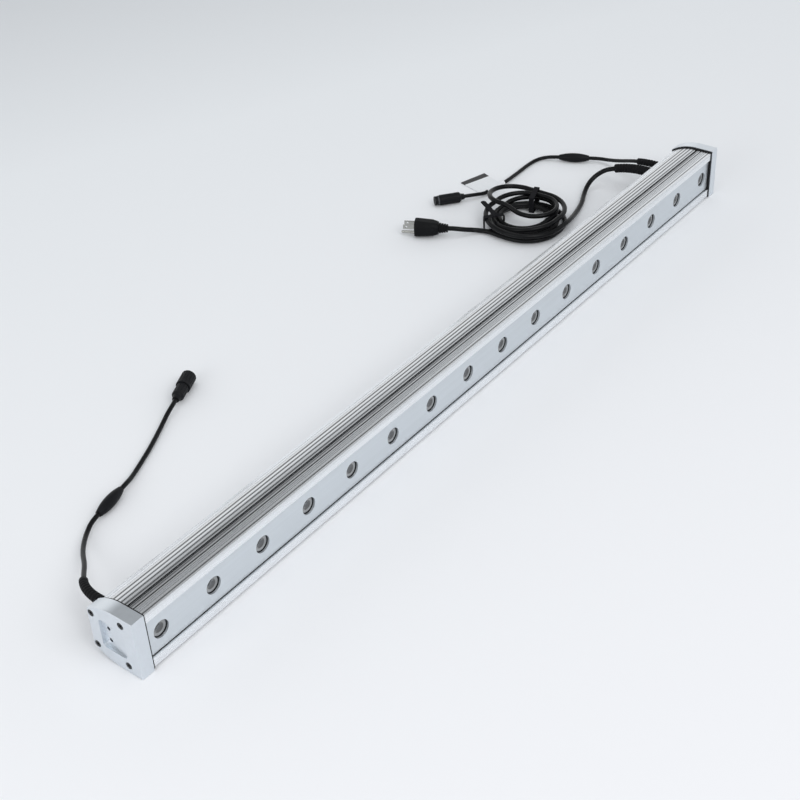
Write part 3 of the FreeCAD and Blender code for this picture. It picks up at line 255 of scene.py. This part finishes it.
lens_look = finish("lens_clear", (0.5, 0.52, 0.54), 0.0, 0.12, even, 0.03, 0.02, 0.03,
                   Transmission_Weight=0.30, IOR=1.49, Coat_Weight=0.6)
paint_lens_light_and_shade(lens_look)
holder_look = finish("holder_black", (0.012, 0.012, 0.014), 0.0, 0.45, even, 0.2, 0.1,
                     Specular_IOR_Level=0.20)
dress("lens_clear", lens_look)
dress("holder_plastic", holder_look)
dress("led_ceramic", finish("led_ceramic", (0.75, 0.72, 0.45), 0.0, 0.35, even, 0.1, 0.1))

# ---------------------------------------------------------------- boards and power supply
# Inside are four white boards with the light sources, held by small steel screws, and behind them
# the power supply in its aluminium case and the green control board.
dress("board_white", finish("white_board", (0.75, 0.76, 0.75), 0.0, 0.45, even, 0.06, 0.1))
dress("screw_steel", finish("screw_steel", (0.55, 0.55, 0.57), 1.0, 0.35, even, 0.1, 0.1))
dress("case_aluminium", finish("supply_case", (0.62, 0.63, 0.64), 1.0, 0.38, along_bar, 0.08, 0.1))
dress("circuit_green", finish("green_board", (0.03, 0.18, 0.08), 0.0, 0.40, even, 0.15, 0.1))

# ---------------------------------------------------------------- glands and boots
# Each lead leaves the back through a black plastic gland and a moulded rubber boot.
# A boot has a plain collar, ribs that slant along its bend and a plain tip ring. Its sizes, and those of
# the leads and the coil below, are in millimetres.
gland_look = finish("gland_black", (0.015, 0.015, 0.017), 0.0, 0.48, even, 0.2, 0.2, Specular_IOR_Level=0.15)
boot_look = finish("boot_rubber", (0.008, 0.008, 0.009), 0.0, 0.62, coarse, 0.25, 0.4,
                   Specular_IOR_Level=0.10)
dress("gland_plastic", gland_look)
dress("boot_rubber", boot_look)
MM = 0.001
gland_face, exit_height, boot_sides = 33.4, 38.0, 32
collar_length, plain_length, rib_pitch, groove_share = 5.0, 9.4, 4.4, 0.38
groove_depth, groove_shoulder, rib_step, tip_rounding, bore_depth = 0.9, 0.5, 0.05, 0.5, 4.0
slant_step, most_slant = 0.1, 0.7
signal_bore, mains_bore = 2.95, 3.65


def boot(name, node, x, straight, bend_radius, bend_angle, lean, root, tip, bore):
    """A ribbed boot: straight out of the gland, then along an arc that leans as given, in degrees."""
    lean, total = math.radians(lean), straight + bend_radius * math.radians(bend_angle)
    towards = Vector((math.cos(lean), 0, math.sin(lean)))
    side = Vector((0, 1, 0)).cross(towards)
    ribs = int((total - plain_length) / rib_pitch)
    pitch = (total - plain_length) / ribs

    def ring(distance, sunk, slant=0.0):
        turned = max(0.0, distance - straight) / bend_radius
        out = gland_face + min(distance, straight) + bend_radius * math.sin(turned)
        middle = Vector((x, out, exit_height)) + towards * (bend_radius * (1 - math.cos(turned)))
        heading = Vector((0, math.cos(turned), 0)) + towards * math.sin(turned)
        other = heading.cross(side)
        radius = root + (tip - root) * distance / total - sunk
        spots = []
        for k in range(boot_sides):
            t = 2 * math.pi * k / boot_sides
            across = side * (radius * math.cos(t)) + other * (radius * math.sin(t))
            spots.append((middle + across + heading * (slant * math.cos(t))) * MM)
        return spots

    rings = [ring(0, 0), ring(collar_length, 0)]
    groove = ((0.2, groove_shoulder), (0.4, groove_depth), (1.0, groove_depth), (1.2, groove_shoulder))
    for k in range(ribs):
        start, width = collar_length + k * pitch, pitch * groove_share
        slant = min(most_slant, slant_step * k)
        rings += [ring(start + width * share, sunk, slant) for share, sunk in groove]
        rings += [ring(start + width * 1.4, rib_step, slant), ring(start + pitch, 0.0, slant)]
    rings += [ring(total - tip_rounding, 0), ring(total, tip_rounding)]
    rings += [ring(total, tip - bore), ring(total - bore_depth, tip - bore)]
    skin = bmesh.new()
    loops = [[skin.verts.new(spot) for spot in spots] for spots in rings]
    for first, second in zip(loops, loops[1:]):
        for k in range(boot_sides):
            following = (k + 1) % boot_sides
            skin.faces.new((first[k], first[following], second[following], second[k]))
    skin.faces.new(loops[0])
    skin.faces.new(loops[-1])
    bmesh.ops.recalc_face_normals(skin, faces=skin.faces)
    mesh = bpy.data.meshes.new(name)
    skin.to_mesh(mesh)
    skin.free()
    mesh.shade_smooth()
    mesh.materials.append(boot_look)
    piece = bpy.data.objects.new(name, mesh)
    bpy.context.scene.collection.objects.link(piece)
    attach(piece, "light_bar")
    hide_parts(node)
    return piece


near_boot = boot("near_boot", "signal_out_boot", -578.0, 20, 64, 42, -25, 6.3, 5.0, signal_bore)
far_signal_boot = boot("far_signal_boot", "signal_in_boot", 579.0, 20, 90, 20, -50, 6.0, 5.0, signal_bore)
far_mains_boot = boot("far_mains_boot", "mains_boot", 552.0, 22, 150, 19, -127, 7.8, 6.6, mains_bore)


# ---------------------------------------------------------------- signal out lead
# A round black rubber lead lies loose on the floor. A short length runs to a moulded splice, and a
# second one to a plastic connector with brass contacts, a rubber seal ring and a ring nut that turns.
def along(point, degrees, distance):
    """The place that far from a point, level with it, in the direction given from +X."""
    a = math.radians(degrees)
    return (point[0] + math.cos(a) * distance, point[1] + math.sin(a) * distance, point[2])


cord_look = finish("cord_jacket", (0.004, 0.0043, 0.005), 0.0, 0.30, coarse, 0.25, 0.25,
                   Specular_IOR_Level=0.16)
dress("cord_rubber", cord_look)


def metres(point):
    """A point given in millimetres, in metres."""
    return tuple(c * MM for c in point)


def lead(name, points, radius, replaced):
    """A lead as one smooth curve with its route's points as control points."""
    curve = bpy.data.curves.new(name, "CURVE")
    curve.dimensions = "3D"
    curve.bevel_depth = radius * MM
    curve.bevel_resolution = 6
    curve.resolution_u = 8
    curve.use_fill_caps = True
    spline = curve.splines.new("NURBS")
    spline.points.add(len(points) - 1)
    for place, point in zip(spline.points, points):
        place.co = (*metres(point), 1)
    spline.order_u = 3
    spline.use_endpoint_u = True
    curve.materials.append(cord_look)
    piece = bpy.data.objects.new(name, curve)
    bpy.context.scene.collection.objects.link(piece)
    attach(piece, "light_bar")
    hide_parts(*replaced)
    return piece


splice_look = finish("splice_rubber", (0.007, 0.0075, 0.009), 0.0, 0.42, coarse, 0.2, 0.2,
                     Specular_IOR_Level=0.12)
connector_look = finish("connector_black", (0.009, 0.0095, 0.011), 0.0, 0.46, even, 0.25, 0.3,
                        Specular_IOR_Level=0.12)
dress("splice_rubber", splice_look)
dress("connector_plastic", connector_look)
dress("contact_brass", finish("contact_brass", (0.75, 0.58, 0.28), 1.0, 0.25, even, 0.1, 0.1))
dress("seal_rubber", finish("seal_rubber", (0.055, 0.058, 0.065), 0.0, 0.6, coarse, 0.2, 0.2))
signal_radius, splice_length = 2.9, 47.5
out_splice, out_splice_way = (-462.8, 187.4, 7.3), 13.9
out_connector, out_connector_way = (-255.4, 268.4, 9.9), 25.3
out_splice_end = along(out_splice, out_splice_way, splice_length)
out_route = [
    (-570.38, 87.31, 34.45), (-557.64, 102.91, 28.51), (-538.0, 124.5, 20.6), (-523.5, 145.6, 13.0),
    (-507.0, 163.6, 7.2), (-490.6, 177.2, 4.5), along(out_splice, out_splice_way, -13.6), out_splice]
out_tail_route = [
    out_splice_end, along(out_splice_end, out_splice_way, 12.0), (-390.0, 208.4, 3.7),
    (-363.3, 220.3, 3.05), (-340.5, 230.2, 3.05), (-316.5, 242.1, 3.05), (-294.4, 253.4, 3.5),
    (-280.2, 258.8, 7.4), along(out_connector, out_connector_way, -12.0), out_connector]
signal_out_lead = lead("signal_out_lead", out_route, signal_radius, ["signal_out_cord"])
signal_out_tail = lead("signal_out_tail", out_tail_route, signal_radius, ["signal_out_end_cord"])


# ---------------------------------------------------------------- signal in lead and its label
# The lead at the far end is made like the other, and ends in a connector with a plain nose.
# A white paper flag is folded round it, blank but for a plain black band at its far edge.
def copy_of(node, name):
    """A piece of its own with a solid's mesh, and that mesh opened with its doubled corners merged."""
    piece = bpy.data.objects.new(name, nodes[node].data.copy())
    piece.data.materials.clear()
    bpy.context.scene.collection.objects.link(piece)
    merged = bmesh.new()
    merged.from_mesh(piece.data)
    bmesh.ops.remove_doubles(merged, verts=merged.verts, dist=1e-6)
    return piece, merged


in_splice, in_splice_way = (598.1, 181.5, 7.3), 117.3
in_connector, in_connector_way = (383.7, 275.5, 8.3), 141.1
in_splice_end = along(in_splice, in_splice_way, splice_length)
in_route = [
    (579.85, 72.91, 36.99), (584.69, 93.58, 31.22), (593.0, 113.4, 22.4), (599.4, 133.2, 14.8),
    (604.4, 151.6, 9.4), along(in_splice, in_splice_way, -15.0), in_splice]
in_tail_route = [
    in_splice_end, along(in_splice_end, in_splice_way, 10.0), (568.9, 243.6, 4.8), (561.8, 251.4, 3.4),
    (550.2, 255.2, 3.05), (531.0, 256.0, 3.05), (508.0, 254.7, 3.05), (487.0, 253.5, 3.7),
    (464.0, 252.4, 4.5), (440.0, 254.1, 4.5), (416.5, 257.6, 4.5), (403.5, 262.6, 6.6),
    along(in_connector, in_connector_way, -12.0), in_connector]
signal_in_lead = lead("signal_in_lead", in_route, signal_radius, ["signal_in_cord"])
signal_in_tail = lead("signal_in_tail", in_tail_route, signal_radius, ["signal_in_end_cord"])

band_start, band_end = Vector((0.4258, 0.3043, 0.001)), Vector((0.4707, 0.2896, 0.001))
band_line = (band_end - band_start).normalized()
to_far_edge = Vector((-band_line.y, band_line.x, 0))
label, sheet = copy_of("label_tag", "paper_flag")
label.data.materials.append(finish("blank_paper", (0.80, 0.82, 0.84), 0.0, 0.55, coarse, 0.03, 0.1))
label.data.materials.append(finish("black_band", (0.015, 0.015, 0.017), 0.0, 0.5, coarse, 0.2, 0.05))
everything = sheet.verts[:] + sheet.edges[:] + sheet.faces[:]
bmesh.ops.bisect_plane(sheet, geom=everything, plane_co=band_start, plane_no=to_far_edge)
for face in sheet.faces:
    face.material_index = int((face.calc_center_median() - band_start).dot(to_far_edge) > 0)
sheet.to_mesh(label.data)
sheet.free()
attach(label, "light_bar")
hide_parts("label_tag")


# ---------------------------------------------------------------- mains lead, straps and plug
# The thicker lead runs from its boot into a coil wound by hand, and out again to a moulded plug with
# nickel blades. Two black hook and loop straps hold the coil.
def turns(start, heading, moves):
    """Control points of half and quarter turns to the left, straights and ramps between layers."""
    step = math.radians(15)
    shortest_straight = 14
    here, heading, points = Vector(start), Vector(heading), [Vector(start)]
    for kind, size, height in moves:
        side = Vector((-heading.y, heading.x, 0))
        if kind in ("half", "quarter"):
            sweep = 12 if kind == "half" else 6
            end_height = here.z if height is None else height
            reach = size / math.cos(step / 2)
            for k in range(sweep):
                a = (k + 0.5) * step
                spot = here + side * (size - reach * math.cos(a)) + heading * (reach * math.sin(a))
                spot.z = here.z + (end_height - here.z) * (1 - math.cos(a)) / 2
                points.append(spot)
            if kind == "half":
                here, heading = here + side * (2 * size), -heading
            else:
                here, heading = here + heading * size + side * size, side
            here.z = end_height
        else:
            end = here + heading * size
            if kind == "ramp":
                late = here + heading * (size * 0.75)
                points += [here + heading * (size / 4), Vector((late.x, late.y, height))]
                end.z = height
            elif size >= shortest_straight:
                points += [here.copy(), end.copy()]
            here = end
    return [tuple(point) for point in points + [here]]


one, two, three, four = 4.85, 12.95, 20.8, 29.3
coil_start = (317.0, 156.0, one)
coil_moves = [
    ("straight", 8, None), ("quarter", 50, None), ("straight", 8, None), ("half", 56, one),
    ("half", 50, one), ("half", 46, one), ("half", 42, one), ("half", 38, two), ("straight", 4, None),
    ("half", 36, two), ("straight", 24, None), ("half", 40, two), ("straight", 24, None),
    ("half", 49, three), ("straight", 14, None), ("quarter", 52, None), ("straight", 38.5, None),
    ("half", 36.5, four), ("ramp", 40.5, three), ("half", 32.5, three), ("straight", 14, None),
    ("quarter", 44, None), ("straight", 16, None), ("half", 58.75, two), ("straight", 8, None)]
coil_route = turns(coil_start, (0, -1, 0), coil_moves)
boot_to_coil = [
    (549.43, 92.89, 34.59), (545.12, 113.69, 28.87), (540.4, 122.9, 24.3), (532.9, 129.6, 18.9),
    (523.4, 133.0, 13.6), (512.8, 132.9, 9.0), (501.0, 129.9, 5.6), (487.0, 124.4, 3.8),
    (471.5, 117.2, 3.65), (454.0, 111.4, 3.8), (437.0, 106.4, 5.4), (420.0, 101.4, 8.0),
    (404.6, 97.2, 10.8), (390.0, 94.5, 12.95), (377.0, 94.5, 12.95)]
mains_radius, plug_length = 3.6, 48.8
plug_face, plug_way = (257.3, 274.6, 14.2), 117.8
relief_end = along(plug_face, plug_way, -plug_length)
plug_to_coil = [
    relief_end, along(relief_end, plug_way, -12.0), (294.5, 212.9, 10.8), (304.5, 207.0, 7.5),
    (311.4, 199.8, 5.6), (316.1, 191.0, 4.9), (318.3, 180.7, 4.85), (317.0, 168.0, 4.85)]
mains_lead = lead("mains_lead", boot_to_coil + coil_route[-2::-1] + plug_to_coil[::-1], mains_radius,
                  ["mains_cord", "mains_cord_coil", "plug_cord"])

strap_look = finish("tie_strap", (0.010, 0.010, 0.012), 0.0, 0.80, (2600, 2600, 2600), 0.4, 0.8,
                    Specular_IOR_Level=0.08)
dress("tie_fabric", strap_look)
for name, node in (("inner_strap", "coil_tie_inner"), ("outer_strap", "coil_tie_outer")):
    strap, band = copy_of(node, name)
    bmesh.ops.dissolve_limit(band, angle_limit=math.radians(1), verts=band.verts, edges=band.edges)
    band.to_mesh(strap.data)
    band.free()
    soft_edge = strap.modifiers.new("soft_edge", "BEVEL")
    soft_edge.width = 0.0002
    soft_edge.segments = 2
    soft_edge.limit_method = "ANGLE"
    strap.data.materials.append(strap_look)
    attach(strap, "light_bar")
    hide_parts(node)

plug_look = finish("plug_rubber", (0.006, 0.0062, 0.007), 0.0, 0.50, even, 0.25, 0.3, Specular_IOR_Level=0.10)
dress("plug_rubber", plug_look)
dress("plug_metal", finish("plug_nickel", (0.42, 0.42, 0.40), 1.0, 0.24, along_bar, 0.12, 0.1))


# ---------------------------------------------------------------- floor
# A pale matt studio floor, with painted shade that makes it a little greyer towards the back. Camera, glossy
# and transmitted rays see its colour, and the light that it throws back on the object is a plain grey.
def shade_floor(look):
    """Paint shade into the floor's colour, fading it from the front right to the darker back left."""
    fade_way, fade_start, fade_end = (0.395, 0.919, 0), -0.8, 1.8
    # painted shade: the floor's colour darkens towards the back left
    front, middle, far = (0.86, 0.86, 0.88, 1), (0.88, 0.90, 0.92, 1), (0.74, 0.76, 0.78, 1)
    middle_at, thrown_back = 0.65, (0.70, 0.72, 0.74, 1)
    n, link = look.node_tree.nodes, look.node_tree.links.new
    shader = n["Principled BSDF"]
    shader.inputs["Roughness"].default_value = 0.9
    shader.inputs["Specular IOR Level"].default_value = 0.2
    place, run, span = [n.new("ShaderNode" + kind) for kind in ("TexCoord", "VectorMath", "MapRange")]
    painted_floor_shade, path, shown = [n.new("ShaderNode" + kind) for kind in ("ValToRGB", "LightPath", "Mix")]
    run.operation = "DOT_PRODUCT"
    run.inputs[1].default_value = fade_way
    span.inputs["From Min"].default_value = fade_start
    span.inputs["From Max"].default_value = fade_end
    row = painted_floor_shade.color_ramp.elements
    row[0].color, row[1].color = front, far
    row.new(middle_at).color = middle
    seen, seen_or_mirrored = n.new("ShaderNodeMath"), n.new("ShaderNodeMath")
    seen.operation = seen_or_mirrored.operation = "ADD"
    seen.use_clamp = seen_or_mirrored.use_clamp = True
    shown.data_type = "RGBA"
    shown.inputs["A"].default_value = thrown_back
    link(path.outputs["Is Camera Ray"], seen.inputs[0])
    link(path.outputs["Is Transmission Ray"], seen.inputs[1])
    link(seen.outputs[0], seen_or_mirrored.inputs[0])
    link(path.outputs["Is Glossy Ray"], seen_or_mirrored.inputs[1])
    link(place.outputs["Object"], run.inputs[0])
    link(run.outputs["Value"], span.inputs["Value"])
    link(span.outputs["Result"], painted_floor_shade.inputs["Fac"])
    link(seen_or_mirrored.outputs[0], shown.inputs["Factor"])
    link(painted_floor_shade.outputs["Color"], shown.inputs["B"])
    link(shown.outputs["Result"], shader.inputs["Base Color"])


floor_size, floor_height = 14, -0.0002
floor_look = bpy.data.materials.new("studio_floor")
floor_look.use_nodes = True
shade_floor(floor_look)
bpy.ops.mesh.primitive_plane_add(size=floor_size, location=(0, 0, floor_height))
floor = bpy.context.object
floor.name = "studio_floor"
floor.data.materials.append(floor_look)


# ---------------------------------------------------------------- light
# A white studio with a darker band part way up, which the metal's top mirrors at the near end, and
# two large soft lamps: one over the front, one beyond the near end.
def studio_world():
    """The sky's brightness by height: bright round the horizon, a darker band, bright overhead."""
    world = bpy.data.worlds.new("studio")
    world.use_nodes = True
    sky = world.node_tree.nodes["Background"]
    sky.inputs["Strength"].default_value = 1.0
    n, link = world.node_tree.nodes, world.node_tree.links.new
    place, split, heights = [n.new("ShaderNode" + kind) for kind in ("TexCoord", "SeparateXYZ", "ValToRGB")]
    row = heights.color_ramp.elements
    row[0].position, row[0].color = 0.0, (1.0, 1.0, 1.0, 1)
    row[1].position, row[1].color = 1.0, (1.20, 1.24, 1.28, 1)
    for position, value in ((0.46, 1.0), (0.58, 0.62), (0.66, 0.20), (0.76, 0.24)):
        row.new(position).color = (value * 0.96, value * 0.98, value, 1)
    link(place.outputs["Generated"], split.inputs[0])
    link(split.outputs["Z"], heights.inputs["Fac"])
    link(heights.outputs["Color"], sky.inputs["Color"])
    return world


def lamp(name, place, target, size, power):
    """A square soft lamp of that size in metres and power in watts, turned to its target."""
    light = bpy.data.lights.new(name, "AREA")
    light.shape = "SQUARE"
    light.size = size
    light.energy = power
    holder = bpy.data.objects.new(name, light)
    holder.location = place
    holder.rotation_euler = (Vector(place) - Vector(target)).to_track_quat("Z", "Y").to_euler()
    bpy.context.scene.collection.objects.link(holder)


bpy.context.scene.world = studio_world()
lamp("key", (-0.6, -2.2, 2.4), (0, 0, 0), 1.8, 34)
lamp("end", (-2.6, 0.2, 1.0), (-0.6, 0, 0.04), 1.4, 12)
